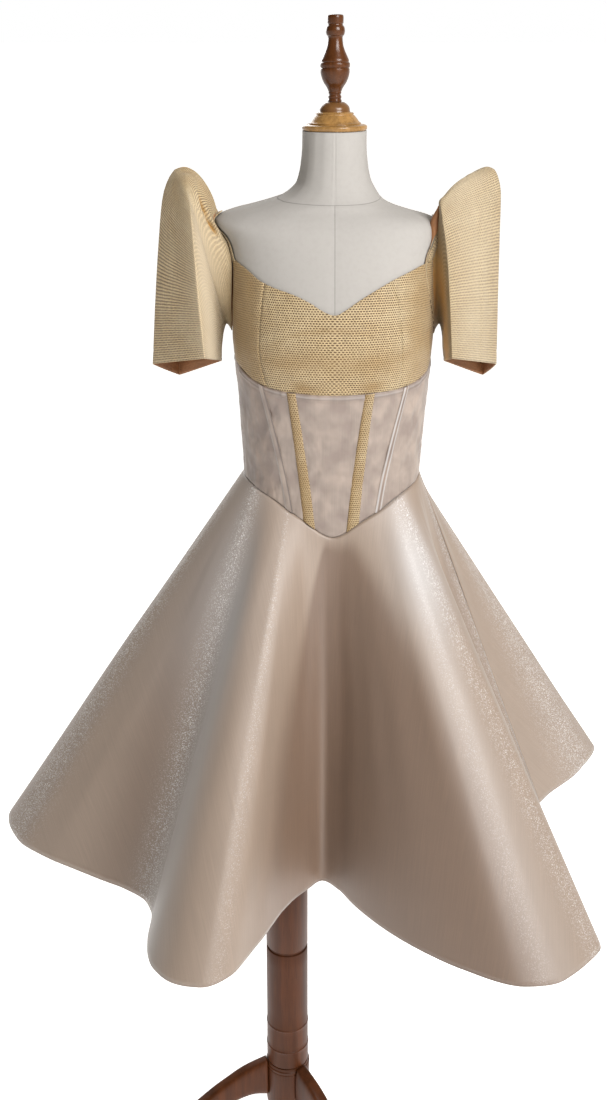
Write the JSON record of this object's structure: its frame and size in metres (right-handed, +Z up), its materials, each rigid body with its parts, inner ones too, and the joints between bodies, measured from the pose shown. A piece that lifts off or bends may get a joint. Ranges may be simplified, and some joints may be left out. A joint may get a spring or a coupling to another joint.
{
  "type": "terno gown on a limbless dress form with a tripod stand",
  "caption": "Knee-length terno gown with flat butterfly sleeves, sweetheart bodice, pointed corset and circle skirt, on a limbless dress form with a turned wooden pole and tripod.",
  "frame": {"origin": "on the floor under the centre of the bounding box", "axes": "+Z up, the front of the gown faces -Y, +X to the viewer's right"},
  "size_m": [0.994, 0.8295, 1.8766],
  "materials": {
    "gold_cloth": "matte",
    "satin": "satin",
    "linen": "matte",
    "pale_wood": "satin",
    "dark_wood": "satin"
  },
  "bodies": {
    "root": {"bodice_front_center": "gold_cloth", "bodice_side_front_left": "gold_cloth", "bodice_side_front_right": "gold_cloth", "bodice_back_left": "gold_cloth", "bodice_back_right": "gold_cloth", "strap_left": "gold_cloth", "strap_right": "gold_cloth", "boning_tape_left": "gold_cloth", "boning_tape_right": "gold_cloth", "sleeve_left": "gold_cloth", "sleeve_right": "gold_cloth", "corset_front_center": "satin", "corset_mid_left": "satin", "corset_mid_right": "satin", "corset_side_left": "satin", "corset_side_right": "satin", "corset_back_left": "satin", "corset_back_right": "satin", "boning_channel_left": "satin", "boning_channel_right": "satin", "skirt_front": "satin", "skirt_back_left": "satin", "skirt_back_right": "satin", "form_torso": "linen", "form_neck_cap": "pale_wood", "finial": "dark_wood", "pole": "dark_wood", "hub": "dark_wood", "leg_left": "dark_wood", "leg_right": "dark_wood", "leg_back": "dark_wood"}
  },
  "joints": []
}
